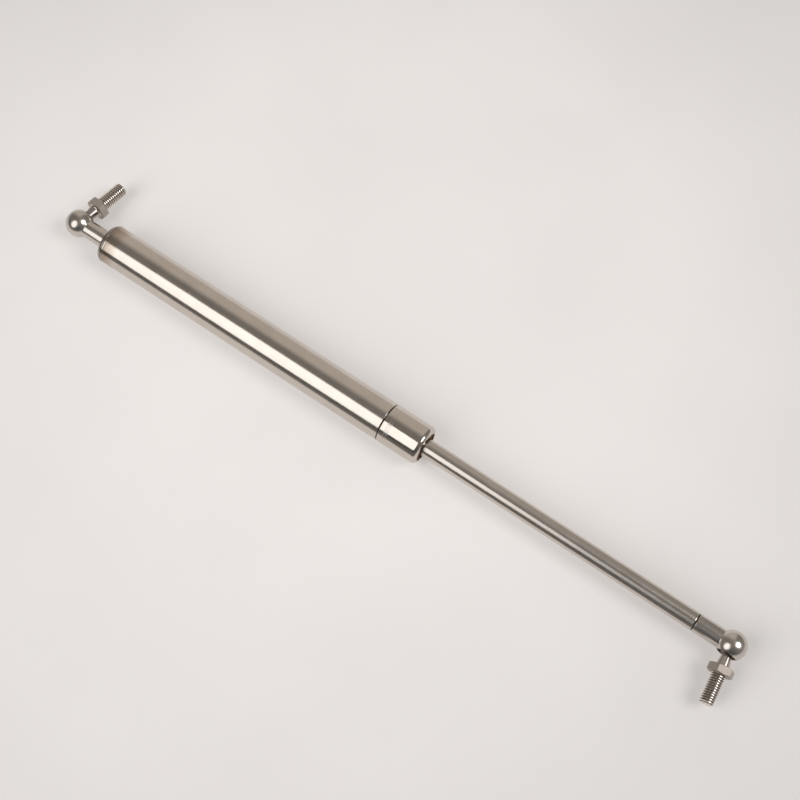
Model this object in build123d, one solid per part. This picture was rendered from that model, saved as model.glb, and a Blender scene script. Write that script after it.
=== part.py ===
from build123d import *
import os
from math import cos, radians, sin

# Gas strut stay, lying on its side and fully extended, in millimetres.
# The strut's axis is the X axis. The origin is the centre of the tube-end ball,
# and the rod points along +X. Each end carries a ball stud square to the axis.

# ---- driving dimensions ----
TUBE_OUTER_RADIUS = 11.0
TUBE_WALL = 1.5
TUBE_LENGTH = 211.0
ROD_RADIUS = 5.0
EXPOSED_ROD = 162.0
FITTING_REACH = 20.5         # ball centre to the end of a fitting's shank

# ---- clearances ----
RUNNING_FIT = 0.05           # radial, between a piece that slides or turns and its bore
SEATED_FIT = 0.05            # radial, between a piece that stays put and its bore
THREAD_FIT = 0.05            # radial, between a screwed spigot and its thread
BALL_FIT = 0.03              # radial, between ball and seat cup, and cup and housing
STOP_GAP = 0.3               # between the piston and the bead that stops it

# ---- tube ends ----
BLIND_CORNER_RADIUS = 2.5
BLIND_HOLE_RADIUS = 6.5
MOUTH_CORNER_RADIUS = 2.0
MOUTH_HOLE_RADIUS = 8.15
BEAD_SECTION_RADIUS = 1.2    # rolled bead, measured on the inside of the wall
BEAD_RISE = 0.6              # how far the bead stands into the bore
BEAD_GROOVE_RADIUS = 1.0     # section of the groove that shows outside
BEAD_GROOVE_DEPTH = 0.6
BEAD_OUTER_LIMIT = 0.2       # the bead's own ring stops this far under the tube's surface

# ---- end plug ----
PLUG_LENGTH = 11.0
SPIGOT_RADIUS = 3.0          # M6, at both ends of the strut and under the piston
SPIGOT_LENGTH = 10.0
SPIGOT_CHAMFER = 0.5
SPIGOT_BORE_SPARE = 0.5      # bore depth past the end of the spigot

# ---- seal rings, one on the plug and one on the guide ----
O_RING_SECTION_RADIUS = 0.93
O_RING_GROOVE_WIDTH = 2.6
O_RING_GROOVE_DEPTH = 1.9    # under the tube's bore

# ---- guide pack, listed from the mouth inwards ----
OUTER_WASHER_THICKNESS = 0.9
OUTER_WASHER_HOLE_RADIUS = 6.6
WIPER_THICKNESS = 2.6
WIPER_LIP_HEIGHT = 0.6
WIPER_LIP_WIDTH = 1.2
GUIDE_LENGTH = 11.0
BUSH_WALL = 1.0
BUSH_INSET = 0.5             # bush end to guide end
BACKING_WASHER_THICKNESS = 1.0
ROD_SEAL_LENGTH = 5.0
ROD_SEAL_CHAMFER = 1.0
SUPPORT_WASHER_THICKNESS = 1.0
GUIDE_CHAMFER = 0.4

# ---- piston pack, listed from the rod's shoulder inwards ----
PISTON_CLEARANCE = 0.2       # radial, between the piston or its front washer and the bore
FRONT_WASHER_THICKNESS = 1.5
PISTON_LENGTH = 8.0
VALVE_DISC_RADIUS = 7.0
VALVE_DISC_THICKNESS = 0.6
REAR_WASHER_RADIUS = 6.0
REAR_WASHER_THICKNESS = 1.5
NUT_ACROSS_FLATS = 10.0
NUT_THICKNESS = 5.0
SPIGOT_PAST_NUT = 0.8
PISTON_RING_WIDTH = 3.0
PISTON_RING_DEPTH = 1.8      # radial thickness of the seal ring
PISTON_RING_FLOAT = 0.1      # gap under the ring
ORIFICE_RADIUS = 0.6
ORIFICE_CIRCLE_RADIUS = 5.0
ORIFICE_COUNT = 2

# ---- ball fittings ----
BALL_RADIUS = 5.0
HOUSING_RADIUS = 7.75
MOUTH_PLANE = 5.5            # ball centre to the housing's flat mouth
BALL_ENTRY = 0.1             # radial, between the ball and the bore that it goes in through
SEAT_CUP_WALL = 0.59
SEAT_CUP_TOP = 2.0           # cup edge below the ball centre
SEAT_CUP_DRAIN_RADIUS = 1.0
SNAP_RING_BOTTOM = 2.65      # above the ball centre
SNAP_RING_THICKNESS = 1.1
SNAP_RING_GAP = 0.06         # radial, between the ring's lower edge and the ball
SNAP_RING_GRIP = 0.75        # how deep the ring sits in the housing's wall
SNAP_RING_SPLIT = 2.5
SHANK_RADIUS = 5.0
SHANK_CHAMFER = 0.35
NECK_BLEND_RADIUS = 0.8      # between the shank and the round housing

# ---- ball studs ----
STUD_NECK_START_RADIUS = 2.4
STUD_NECK_END_RADIUS = 3.7
STUD_NECK_FILLET = 0.8
STUD_HEX_START = 11.8
STUD_HEX_THICKNESS = 4.0
STUD_HEX_ACROSS_FLATS = 12.0
STUD_HEX_CORNER_CUT = 0.9    # turned off each hexagon corner, on the radius
STUD_THREAD_RADIUS = 4.0     # M8
STUD_THREAD_LENGTH = 16.0
STUD_TIP_CHAMFER = 0.8

# ---- how the fittings and studs stand at rest, in degrees ----
HOUSING_ROLL = 5.0           # both mouths dip this far below level
TUBE_END_TILT = 7.0          # stud leans towards its own shank
ROD_END_TILT = -7.5          # stud leans away from its own shank
TUBE_END_HEX_TURN = 0.0
ROD_END_HEX_TURN = -12.0

# ---- places along the axis, worked out from the values above ----
BORE_RADIUS = TUBE_OUTER_RADIUS - TUBE_WALL
TUBE_START = FITTING_REACH
TUBE_MOUTH = TUBE_START + TUBE_LENGTH
ROD_FACE = TUBE_MOUTH + EXPOSED_ROD
ROD_BALL = ROD_FACE + FITTING_REACH
PACK_RADIUS = BORE_RADIUS - SEATED_FIT
ROD_BORE_RADIUS = ROD_RADIUS + RUNNING_FIT
SCREW_RADIUS = SPIGOT_RADIUS - THREAD_FIT
PISTON_RADIUS = BORE_RADIUS - PISTON_CLEARANCE
HOUSING_BORE_RADIUS = BALL_RADIUS + BALL_ENTRY
SNAP_RING_INNER_RADIUS = (BALL_RADIUS ** 2 - SNAP_RING_BOTTOM ** 2) ** 0.5 + SNAP_RING_GAP
SNAP_RING_OUTER_RADIUS = HOUSING_BORE_RADIUS + SNAP_RING_GRIP

OUTER_WASHER_START = TUBE_MOUTH - TUBE_WALL - OUTER_WASHER_THICKNESS
WIPER_START = OUTER_WASHER_START - WIPER_THICKNESS
GUIDE_START = WIPER_START - GUIDE_LENGTH
BACKING_WASHER_START = GUIDE_START - BACKING_WASHER_THICKNESS
ROD_SEAL_START = BACKING_WASHER_START - ROD_SEAL_LENGTH
SUPPORT_WASHER_START = ROD_SEAL_START - SUPPORT_WASHER_THICKNESS
BEAD_CENTRE = SUPPORT_WASHER_START - BEAD_SECTION_RADIUS

SHOULDER = BEAD_CENTRE - BEAD_SECTION_RADIUS - STOP_GAP
PISTON_START = SHOULDER - FRONT_WASHER_THICKNESS - PISTON_LENGTH
VALVE_DISC_START = PISTON_START - VALVE_DISC_THICKNESS
REAR_WASHER_START = VALVE_DISC_START - REAR_WASHER_THICKNESS
NUT_START = REAR_WASHER_START - NUT_THICKNESS

ALONG_X = Rot(0, 90, 0)


def rod_between(start, end, radius):
    """Solid round bar on the strut's axis."""
    middle = (start + end) / 2
    return Pos(middle, 0, 0) * ALONG_X * Cylinder(radius, end - start)


def ring_between(start, end, inner, outer):
    """Plain ring on the strut's axis."""
    return rod_between(start, end, outer) - rod_between(start, end, inner)


def torus_at(place, middle_radius, section_radius):
    """Round-section ring on the strut's axis."""
    return Pos(place, 0, 0) * ALONG_X * Torus(middle_radius, section_radius)


def rounded_bar(start, end, radius, start_round, end_round):
    """Round bar whose two end edges are rounded."""
    bar = rod_between(start, end, radius)
    edges = bar.edges().filter_by(GeomType.CIRCLE).sort_by(Axis.X)
    bar = fillet(edges[0], start_round)
    edges = bar.edges().filter_by(GeomType.CIRCLE).sort_by(Axis.X)
    return fillet(edges[-1], end_round)


def seal_groove(middle):
    """Ring of material taken off a piece in the bore, to hold a seal ring."""
    half = O_RING_GROOVE_WIDTH / 2
    return ring_between(middle - half, middle + half, BORE_RADIUS - O_RING_GROOVE_DEPTH, BORE_RADIUS)


def seal_ring(middle):
    """Seal ring that fills the groove between its floor and the bore."""
    return torus_at(middle, BORE_RADIUS - O_RING_GROOVE_DEPTH / 2, O_RING_SECTION_RADIUS)


def hexagon_bar(start, length, across_flats):
    """Hexagon bar on the strut's axis."""
    section = Plane(origin=(start, 0, 0), z_dir=(1, 0, 0))
    return extrude(section * RegularPolygon(across_flats / 2, 6, major_radius=False), length)


# ---- cylinder ----

def cylinder_tube():
    """Drawn tube, rolled in at both ends, with a bead rolled in to hold the guide pack."""
    outside = rounded_bar(
        TUBE_START, TUBE_MOUTH, TUBE_OUTER_RADIUS, BLIND_CORNER_RADIUS, MOUTH_CORNER_RADIUS)
    inside = rounded_bar(
        TUBE_START + TUBE_WALL, TUBE_MOUTH - TUBE_WALL, BORE_RADIUS,
        BLIND_CORNER_RADIUS - TUBE_WALL, MOUTH_CORNER_RADIUS - TUBE_WALL)
    middle = (TUBE_START + TUBE_MOUTH) / 2
    bead = torus_at(BEAD_CENTRE, BORE_RADIUS - BEAD_RISE + BEAD_SECTION_RADIUS, BEAD_SECTION_RADIUS)
    bead = bead & rod_between(middle, TUBE_MOUTH, TUBE_OUTER_RADIUS - BEAD_OUTER_LIMIT)
    groove = torus_at(
        BEAD_CENTRE, TUBE_OUTER_RADIUS - BEAD_GROOVE_DEPTH + BEAD_GROOVE_RADIUS, BEAD_GROOVE_RADIUS)
    tube = outside - inside + bead - groove
    tube -= rod_between(TUBE_START, middle, BLIND_HOLE_RADIUS)
    return tube - rod_between(middle, TUBE_MOUTH, MOUTH_HOLE_RADIUS)


def end_plug():
    """Turned plug that closes the blind end, with the screwed spigot for the fitting."""
    flange_start = TUBE_START + TUBE_WALL
    flange = rounded_bar(
        flange_start, flange_start + PLUG_LENGTH, PACK_RADIUS, BLIND_CORNER_RADIUS - TUBE_WALL, GUIDE_CHAMFER)
    boss = rod_between(TUBE_START, flange_start, BLIND_HOLE_RADIUS - SEATED_FIT)
    spigot = rod_between(TUBE_START - SPIGOT_LENGTH, TUBE_START, SCREW_RADIUS)
    tip = spigot.edges().filter_by(GeomType.CIRCLE).sort_by(Axis.X)[0]
    spigot = chamfer(tip, SPIGOT_CHAMFER)
    return flange + boss + spigot - seal_groove(flange_start + PLUG_LENGTH / 2)


def end_plug_seal():
    """Seal ring round the end plug."""
    return seal_ring(TUBE_START + TUBE_WALL + PLUG_LENGTH / 2)


# ---- guide pack at the mouth ----

def outer_washer():
    """Steel washer that the rolled mouth bears on, rounded to fit inside the rolled corner."""
    end = OUTER_WASHER_START + OUTER_WASHER_THICKNESS
    disc = rod_between(OUTER_WASHER_START, end, PACK_RADIUS)
    edge = disc.edges().filter_by(GeomType.CIRCLE).sort_by(Axis.X)[-1]
    hole = rod_between(OUTER_WASHER_START, end, OUTER_WASHER_HOLE_RADIUS)
    return fillet(edge, MOUTH_CORNER_RADIUS - TUBE_WALL) - hole


def wiper_ring():
    """Rubber ring that keeps dirt off the rod, with a lip inside the outer washer."""
    body = ring_between(WIPER_START, OUTER_WASHER_START, ROD_BORE_RADIUS, PACK_RADIUS)
    lip_end = OUTER_WASHER_START + WIPER_LIP_HEIGHT
    lip = ring_between(OUTER_WASHER_START, lip_end, ROD_BORE_RADIUS, ROD_BORE_RADIUS + WIPER_LIP_WIDTH)
    return body + lip


def rod_guide():
    """Guide body that centres the rod and carries the bush and its own seal ring."""
    body = rod_between(GUIDE_START, WIPER_START, PACK_RADIUS)
    body = chamfer(body.edges().filter_by(GeomType.CIRCLE), GUIDE_CHAMFER)
    body -= rod_between(GUIDE_START, WIPER_START, ROD_BORE_RADIUS + BUSH_WALL)
    return body - seal_groove(GUIDE_START + GUIDE_LENGTH / 2)


def guide_bush():
    """Thin bearing bush pressed into the guide, in which the rod slides."""
    return ring_between(
        GUIDE_START + BUSH_INSET, WIPER_START - BUSH_INSET, ROD_BORE_RADIUS, ROD_BORE_RADIUS + BUSH_WALL)


def guide_seal():
    """Seal ring between guide and tube."""
    return seal_ring(GUIDE_START + GUIDE_LENGTH / 2)


def seal_backing_washer():
    """Washer that holds the rod seal off the guide."""
    return ring_between(BACKING_WASHER_START, GUIDE_START, ROD_BORE_RADIUS, PACK_RADIUS)


def rod_seal():
    """Gas seal, relieved round the rod on its pressure side."""
    seal = ring_between(ROD_SEAL_START, BACKING_WASHER_START, ROD_BORE_RADIUS, PACK_RADIUS)
    edges = seal.edges().filter_by(GeomType.CIRCLE).group_by(Axis.X)[0].sort_by(SortBy.RADIUS)
    return chamfer(edges[0], ROD_SEAL_CHAMFER)


def support_washer():
    """Washer between the rod seal and the rolled bead."""
    return ring_between(SUPPORT_WASHER_START, ROD_SEAL_START, ROD_BORE_RADIUS, PACK_RADIUS)


# ---- rod and piston pack ----

def piston_rod():
    """Ground rod with a screwed spigot at each end."""
    rod = rod_between(SHOULDER, ROD_FACE, ROD_RADIUS)
    rod = chamfer(rod.edges().filter_by(GeomType.CIRCLE), SHANK_CHAMFER)
    piston_spigot = rod_between(NUT_START - SPIGOT_PAST_NUT, SHOULDER, SCREW_RADIUS)
    fitting_spigot = rod_between(ROD_FACE, ROD_FACE + SPIGOT_LENGTH, SCREW_RADIUS)
    inner_tip = piston_spigot.edges().filter_by(GeomType.CIRCLE).sort_by(Axis.X)[0]
    outer_tip = fitting_spigot.edges().filter_by(GeomType.CIRCLE).sort_by(Axis.X)[-1]
    return rod + chamfer(inner_tip, SPIGOT_CHAMFER) + chamfer(outer_tip, SPIGOT_CHAMFER)


def piston_front_washer():
    """Washer at the rod's shoulder, which meets the bead when the strut is fully out."""
    return ring_between(SHOULDER - FRONT_WASHER_THICKNESS, SHOULDER, SPIGOT_RADIUS, PISTON_RADIUS)


def piston_ring_places():
    """Start and end of the seal ring along the axis."""
    middle = PISTON_START + PISTON_LENGTH / 2
    return middle - PISTON_RING_WIDTH / 2, middle + PISTON_RING_WIDTH / 2


def piston():
    """Piston with the groove for its seal ring and the holes that meter the gas."""
    end = PISTON_START + PISTON_LENGTH
    body = ring_between(PISTON_START, end, SPIGOT_RADIUS, PISTON_RADIUS)
    ring_start, ring_end = piston_ring_places()
    floor = BORE_RADIUS - RUNNING_FIT - PISTON_RING_DEPTH - PISTON_RING_FLOAT
    body -= ring_between(ring_start - RUNNING_FIT, ring_end + RUNNING_FIT, floor, BORE_RADIUS)
    orifice = rod_between(PISTON_START, end, ORIFICE_RADIUS)
    for number in range(ORIFICE_COUNT):
        turn = 360 / ORIFICE_COUNT * number
        body -= Rot(turn, 0, 0) * Pos(0, ORIFICE_CIRCLE_RADIUS, 0) * orifice
    return body


def piston_seal_ring():
    """Slippery ring that seals the piston and lets the rod turn inside it."""
    ring_start, ring_end = piston_ring_places()
    outer = BORE_RADIUS - RUNNING_FIT
    return ring_between(ring_start, ring_end, outer - PISTON_RING_DEPTH, outer)


def valve_disc():
    """Spring disc that covers the metering holes in one direction."""
    return ring_between(VALVE_DISC_START, PISTON_START, SPIGOT_RADIUS, VALVE_DISC_RADIUS)


def piston_rear_washer():
    """Washer between the valve disc and the nut."""
    return ring_between(REAR_WASHER_START, VALVE_DISC_START, SPIGOT_RADIUS, REAR_WASHER_RADIUS)


def piston_nut():
    """Nut that clamps the piston pack to the shoulder."""
    nut = hexagon_bar(NUT_START, NUT_THICKNESS, NUT_ACROSS_FLATS)
    return nut - rod_between(NUT_START, REAR_WASHER_START, SPIGOT_RADIUS)


# ---- ball fitting, drawn with the ball centre at the origin, shank along +X and mouth along +Z ----

def band(bottom, top, inner, outer):
    """Ring round the fitting's Z axis."""
    return Pos(0, 0, (bottom + top) / 2) * (Cylinder(outer, top - bottom) - Cylinder(inner, top - bottom))


def post(bottom, top, radius):
    """Round bar on the fitting's Z axis."""
    return Pos(0, 0, (bottom + top) / 2) * Cylinder(radius, top - bottom)


def socket():
    """Round housing and shank in one piece, bored for the ball and tapped for the spigot."""
    shank = rod_between(0, FITTING_REACH, SHANK_RADIUS)
    end_edge = shank.edges().filter_by(GeomType.CIRCLE).sort_by(Axis.X)[-1]
    body = chamfer(end_edge, SHANK_CHAMFER) + Sphere(HOUSING_RADIUS)
    joint_edges = body.edges().filter_by(GeomType.CIRCLE).sort_by(Axis.X)
    blend_edge = [edge for edge in joint_edges if abs(edge.radius - SHANK_RADIUS) < RUNNING_FIT][0]
    body = fillet(blend_edge, NECK_BLEND_RADIUS)
    cup_radius = BALL_RADIUS + SEAT_CUP_WALL + 2 * BALL_FIT
    floor = Sphere(cup_radius) & post(-cup_radius, 0, HOUSING_BORE_RADIUS)
    body -= post(MOUTH_PLANE, HOUSING_RADIUS, HOUSING_RADIUS)
    body -= floor + post(0, MOUTH_PLANE, HOUSING_BORE_RADIUS)
    ring_top = SNAP_RING_BOTTOM + SNAP_RING_THICKNESS
    body -= band(
        SNAP_RING_BOTTOM - SEATED_FIT, ring_top + SEATED_FIT, SNAP_RING_INNER_RADIUS,
        SNAP_RING_OUTER_RADIUS + SEATED_FIT)
    bore_start = FITTING_REACH - SPIGOT_LENGTH - SPIGOT_BORE_SPARE
    return body - rod_between(bore_start, FITTING_REACH, SPIGOT_RADIUS)


def seat_cup():
    """Plastic cup under the ball."""
    outer = BALL_RADIUS + SEAT_CUP_WALL + BALL_FIT
    cup = Sphere(outer) & post(-outer, -SEAT_CUP_TOP, HOUSING_BORE_RADIUS - RUNNING_FIT)
    return cup - Sphere(BALL_RADIUS + BALL_FIT) - post(-outer, -SEAT_CUP_TOP, SEAT_CUP_DRAIN_RADIUS)


def snap_ring():
    """Split ring in the housing's groove, which keeps the ball in."""
    top = SNAP_RING_BOTTOM + SNAP_RING_THICKNESS
    ring = band(SNAP_RING_BOTTOM, top, SNAP_RING_INNER_RADIUS, SNAP_RING_OUTER_RADIUS)
    split = Box(SNAP_RING_OUTER_RADIUS, SNAP_RING_SPLIT, 2 * HOUSING_RADIUS)
    return ring - Pos(SNAP_RING_OUTER_RADIUS, 0, 0) * split


def ball_stud():
    """Ball, conical neck, hexagon and threaded end in one piece, along +Z from the ball centre."""
    neck_start = (BALL_RADIUS ** 2 - STUD_NECK_START_RADIUS ** 2) ** 0.5
    hex_end = STUD_HEX_START + STUD_HEX_THICKNESS
    tip = hex_end + STUD_THREAD_LENGTH
    neck = Pos(0, 0, (neck_start + STUD_HEX_START) / 2) * Cone(
        STUD_NECK_START_RADIUS, STUD_NECK_END_RADIUS, STUD_HEX_START - neck_start)
    neck += post(0, neck_start, STUD_NECK_START_RADIUS)
    blank = post(STUD_HEX_START, hex_end, STUD_HEX_ACROSS_FLATS / 3 ** 0.5)
    corners = blank.edges().filter_by(GeomType.CIRCLE)
    blank = chamfer(corners, STUD_HEX_CORNER_CUT / 2, STUD_HEX_CORNER_CUT)
    hexagon = Pos(0, 0, STUD_HEX_START) * extrude(
        RegularPolygon(STUD_HEX_ACROSS_FLATS / 2, 6, major_radius=False), STUD_HEX_THICKNESS)
    thread = post(hex_end, tip, STUD_THREAD_RADIUS)
    thread = chamfer(thread.edges().filter_by(GeomType.CIRCLE).sort_by(Axis.Z)[-1], STUD_TIP_CHAMFER)
    stud = neck + (hexagon & blank) + thread
    joint_edge = [
        edge for edge in stud.edges().filter_by(GeomType.CIRCLE)
        if abs(edge.center().Z - STUD_HEX_START) < RUNNING_FIT
        and abs(edge.radius - STUD_NECK_END_RADIUS) < RUNNING_FIT][0]
    return fillet(joint_edge, STUD_NECK_FILLET) + Sphere(BALL_RADIUS)


def fitting_frame(ball_place, shank_direction, mouth_side):
    """Place of a fitting: its ball centre, the way its shank points and the side its mouth faces."""
    dip = radians(HOUSING_ROLL)
    mouth = (0, mouth_side * cos(dip), -sin(dip))
    return Plane(origin=(ball_place, 0, 0), x_dir=(shank_direction, 0, 0), z_dir=mouth).location


def strut_pieces():
    """Every piece of the strut by its node name."""
    makers = [
        cylinder_tube, end_plug, end_plug_seal, outer_washer, wiper_ring, rod_guide, guide_bush, guide_seal,
        seal_backing_washer, rod_seal, support_washer, piston_rod, piston_front_washer, piston,
        piston_seal_ring, valve_disc, piston_rear_washer, piston_nut]
    pieces = {maker.__name__: maker() for maker in makers}
    ends = [
        ("tube_end", fitting_frame(0, 1, 1), TUBE_END_TILT, TUBE_END_HEX_TURN),
        ("rod_end", fitting_frame(ROD_BALL, -1, -1), ROD_END_TILT, ROD_END_HEX_TURN)]
    for end, place, tilt, hex_turn in ends:
        pieces[end + "_socket"] = place * socket()
        pieces[end + "_seat_cup"] = place * seat_cup()
        pieces[end + "_snap_ring"] = place * snap_ring()
        pieces[end + "_ball_stud"] = place * Rot(0, tilt, 0) * Rot(0, 0, hex_turn) * ball_stud()
    return pieces


os.makedirs("parts", exist_ok=True)
for node, piece in strut_pieces().items():
    export_step(piece, os.path.join("parts", node + ".step"))
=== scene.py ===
"""Looks of a stainless gas strut stay with a ball stud at each end, lying fully extended on a table."""

from math import ceil, cos, pi, radians, sin, sqrt, tau

import bmesh
import bpy
from mathutils import Matrix, Vector


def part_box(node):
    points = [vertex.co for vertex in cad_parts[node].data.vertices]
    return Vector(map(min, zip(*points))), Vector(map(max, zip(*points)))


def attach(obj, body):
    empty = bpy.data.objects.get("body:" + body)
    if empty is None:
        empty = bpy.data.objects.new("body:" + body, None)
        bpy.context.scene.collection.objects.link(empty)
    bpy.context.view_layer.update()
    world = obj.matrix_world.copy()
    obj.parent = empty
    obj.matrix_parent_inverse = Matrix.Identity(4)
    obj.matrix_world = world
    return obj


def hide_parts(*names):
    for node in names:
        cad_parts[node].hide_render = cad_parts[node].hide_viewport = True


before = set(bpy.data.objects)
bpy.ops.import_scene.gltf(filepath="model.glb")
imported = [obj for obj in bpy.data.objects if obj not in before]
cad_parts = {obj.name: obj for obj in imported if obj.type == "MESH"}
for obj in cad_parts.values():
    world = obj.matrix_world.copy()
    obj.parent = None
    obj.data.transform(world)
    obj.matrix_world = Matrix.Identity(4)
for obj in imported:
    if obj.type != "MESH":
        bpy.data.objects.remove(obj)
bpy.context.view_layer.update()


# ======================================================================================
# Cylinder tube
# Stainless tube, cold drawn and then satin polished along its length. Its ends are rolled
# in, a bead is rolled in behind the guide pack, and the blind end was closed hot, which
# left a straw-brown tint and a few tool rings.
# ======================================================================================

MM = 0.001
TURN_STEPS = 256             # faces round a turned piece
ROUNDING_STEP = radians(7.5)
GUARD = 0.06                 # mm, a flat has edge loops this close to its ends, to shade flat
SHARP_ANGLE = radians(28)

TUBE_WALL = 1.5
BLIND_CORNER = 2.5
BLIND_INNER_CORNER = 1.0
BLIND_HOLE_RADIUS = 6.5
BLIND_HOLE_ROUNDING = 0.15
MOUTH_SLOPE = 1.5            # the rolled mouth starts to lean in this far from its end
MOUTH_DROP = 1.6             # and has come in by this much at the end
MOUTH_ROUNDING = 2.5
MOUTH_HOLE_RADIUS = 8.15
MOUTH_LIP_ROUNDING = 0.2
BEAD_FROM_MOUTH = 24.2
BEAD_GROOVE_DEPTH = 0.7
BEAD_GROOVE_HALF_WIDTH = 0.42
BEAD_EDGE_ROUNDING = 0.2
BEAD_ROOT_ROUNDING = 0.15
BEAD_RISE = 0.6              # inside the bore
BEAD_RISE_HALF_WIDTH = 1.2
BORE_ROUNDING = 0.5
TOOL_RINGS = ((1.4, 0.16), (2.7, 0.10), (3.9, 0.04))    # (distance, depth), from halfway round the corner
TOOL_RING_HALF_WIDTH = 0.3
TOOL_RING_ROUNDING = 0.12
HEAT_TINT_LENGTH = 12.0
DIRT_AND_SHADE_HALF_WIDTH = 0.9 * BEAD_GROOVE_HALF_WIDTH
DIRT_AND_SHADE_DEPTHS = (0.1, 0.4)    # the bead's groove starts to darken with dirt and painted shade, and is fully dark, this far down
COLLAR_FADE = 0.4
SCRATCH_BAND = (2.6, 5.6)    # from the bead towards the mouth
SCRATCH_FADE = 0.5
MARKS_LOW = 0.36             # levels of the polishing marks where the tone is darkest
MARKS_HIGH = 0.64            # and lightest


def rounded(corners, closed=True):
    """Profile points (along, radius) in mm from corners (along, radius, rounding)."""
    points = []
    count = len(corners)
    for number, (along, radius, rounding) in enumerate(corners):
        corner = Vector((along, radius))
        at_end = not closed and number in (0, count - 1)
        if rounding <= 0 or at_end:
            points.append(corner)
            continue
        before = (Vector(corners[number - 1][:2]) - corner).normalized()
        after = (Vector(corners[(number + 1) % count][:2]) - corner).normalized()
        half = before.angle(after) / 2
        sweep = pi - 2 * half
        centre = corner + (before + after).normalized() * (rounding / sin(half))
        start = corner + before * (rounding * cos(half) / sin(half)) - centre
        end = corner + after * (rounding * cos(half) / sin(half)) - centre
        steps = max(2, ceil(sweep / ROUNDING_STEP))
        for step in range(steps + 1):
            share = step / steps
            arm = start * sin((1 - share) * sweep) + end * sin(share * sweep)
            points.append(centre + arm / sin(sweep))
    return points


def guarded(points, closed=True):
    """The same profile with a point close to each end of every long flat."""
    made = []
    count = len(points)
    for number, point in enumerate(points):
        made.append(point)
        if not closed and number == count - 1:
            break
        step = points[(number + 1) % count] - point
        if step.length > 5 * GUARD:
            made.append(point + step.normalized() * GUARD)
            made.append(point + step - step.normalized() * GUARD)
    return made


def turned(bm, points, place=Matrix(), closed=True, steps=TURN_STEPS):
    """Adds a profile turned about the X axis to a bmesh, with UVs in metres: round, then along."""
    points = guarded(points, closed)
    reach = max(point.y for point in points) * MM
    length = 0.0
    rings = []
    for number, point in enumerate(points):
        if number:
            length += (point - points[number - 1]).length
        if point.y < 1e-6:
            ring = [bm.verts.new(place @ Vector((point.x * MM, 0, 0)))] * steps
        else:
            ring = []
            for step in range(steps):
                angle = tau * step / steps - pi / 2
                spot = Vector((point.x, point.y * cos(angle), point.y * sin(angle))) * MM
                ring.append(bm.verts.new(place @ spot))
        rings.append((ring, length))
    if closed:
        length += (points[0] - points[-1]).length
        rings.append((rings[0][0], length))
    uv = bm.loops.layers.uv.verify()
    for (low, low_along), (high, high_along) in zip(rings, rings[1:]):
        for step in range(steps):
            after = (step + 1) % steps
            corners = {}
            for vertex, turn, along in (
                    (low[step], step, low_along), (low[after], step + 1, low_along),
                    (high[after], step + 1, high_along), (high[step], step, high_along)):
                corners.setdefault(vertex, (turn / steps * tau * reach, along * MM))
            if len(corners) < 3:
                continue
            face = bm.faces.new(corners)
            for loop in face.loops:
                loop[uv].uv = corners[loop.vert]
    return bm


def as_object(bm, name, material=None, solid=True):
    """Turns a bmesh into an object in the scene, with its faces outwards if it is solid."""
    if solid:
        bmesh.ops.recalc_face_normals(bm, faces=bm.faces)
    mesh = bpy.data.meshes.new(name)
    bm.to_mesh(mesh)
    bm.free()
    if material:
        mesh.materials.append(material)
    made = bpy.data.objects.new(name, mesh)
    bpy.context.scene.collection.objects.link(made)
    return made


def finished(bm, name, material, body, slot, *nodes):
    """Turns a bmesh into a piece that rides on its body and stands for its CAD nodes."""
    piece = as_object(bm, name, material)
    piece.data.shade_smooth()
    piece.data.set_sharp_from_angle(angle=SHARP_ANGLE)
    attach(piece, body)
    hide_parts(*nodes)
    return piece


def linear(code):
    """Linear RGBA of an sRGB hex colour."""
    parts = [int(code[start:start + 2], 16) / 255 for start in (1, 3, 5)]
    return [part / 12.92 if part <= 0.04045 else ((part + 0.055) / 1.055) ** 2.4 for part in parts] + [1.0]


def socket(sockets, name):
    """A node's socket by its identifier, or else by its name."""
    found = [each for each in sockets if each.identifier == name]
    return found[0] if found else sockets[name]


def add_node(owner, kind, inputs=None, stops=None, **settings):
    """Adds a node to a material, a world or a tree.

    An input given as a socket is linked, and stops fill a colour ramp from left to right.
    """
    tree = getattr(owner, "node_tree", owner)
    node = tree.nodes.new(kind)
    for name, value in settings.items():
        setattr(node, name, value)
    for name, value in (inputs or {}).items():
        entry = socket(node.inputs, name)
        if isinstance(value, bpy.types.NodeSocket):
            tree.links.new(value, entry)
        else:
            entry.default_value = value
    for number, (place, colour) in enumerate(stops or []):
        elements = node.color_ramp.elements
        element = elements[number] if number < 2 else elements.new(place)
        element.position = place
        element.color = colour
    return node


def new_material(name):
    """Node material with nothing in it yet."""
    material = bpy.data.materials.new(name)
    material.use_nodes = True
    material.node_tree.nodes.clear()
    return material


def join_shader(material, shader):
    """Joins the finished shader to the material's output."""
    output = add_node(material, "ShaderNodeOutputMaterial")
    material.node_tree.links.new(shader.outputs[0], output.inputs["Surface"])


def fine_marks(steel, width, length, detail=3.0, roughness=0.6):
    """Pattern of marks with a width round the piece and a length along it, in metres."""
    uv = add_node(steel, "ShaderNodeUVMap")
    stretch = add_node(steel, "ShaderNodeMapping", {
        "Vector": uv.outputs["UV"], "Scale": (1 / width, 1 / length, 1.0)})
    noise = add_node(steel, "ShaderNodeTexNoise", {
        "Vector": stretch.outputs["Vector"], "Scale": 1.0, "Detail": detail, "Roughness": roughness})
    return noise.outputs["Fac"]


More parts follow.
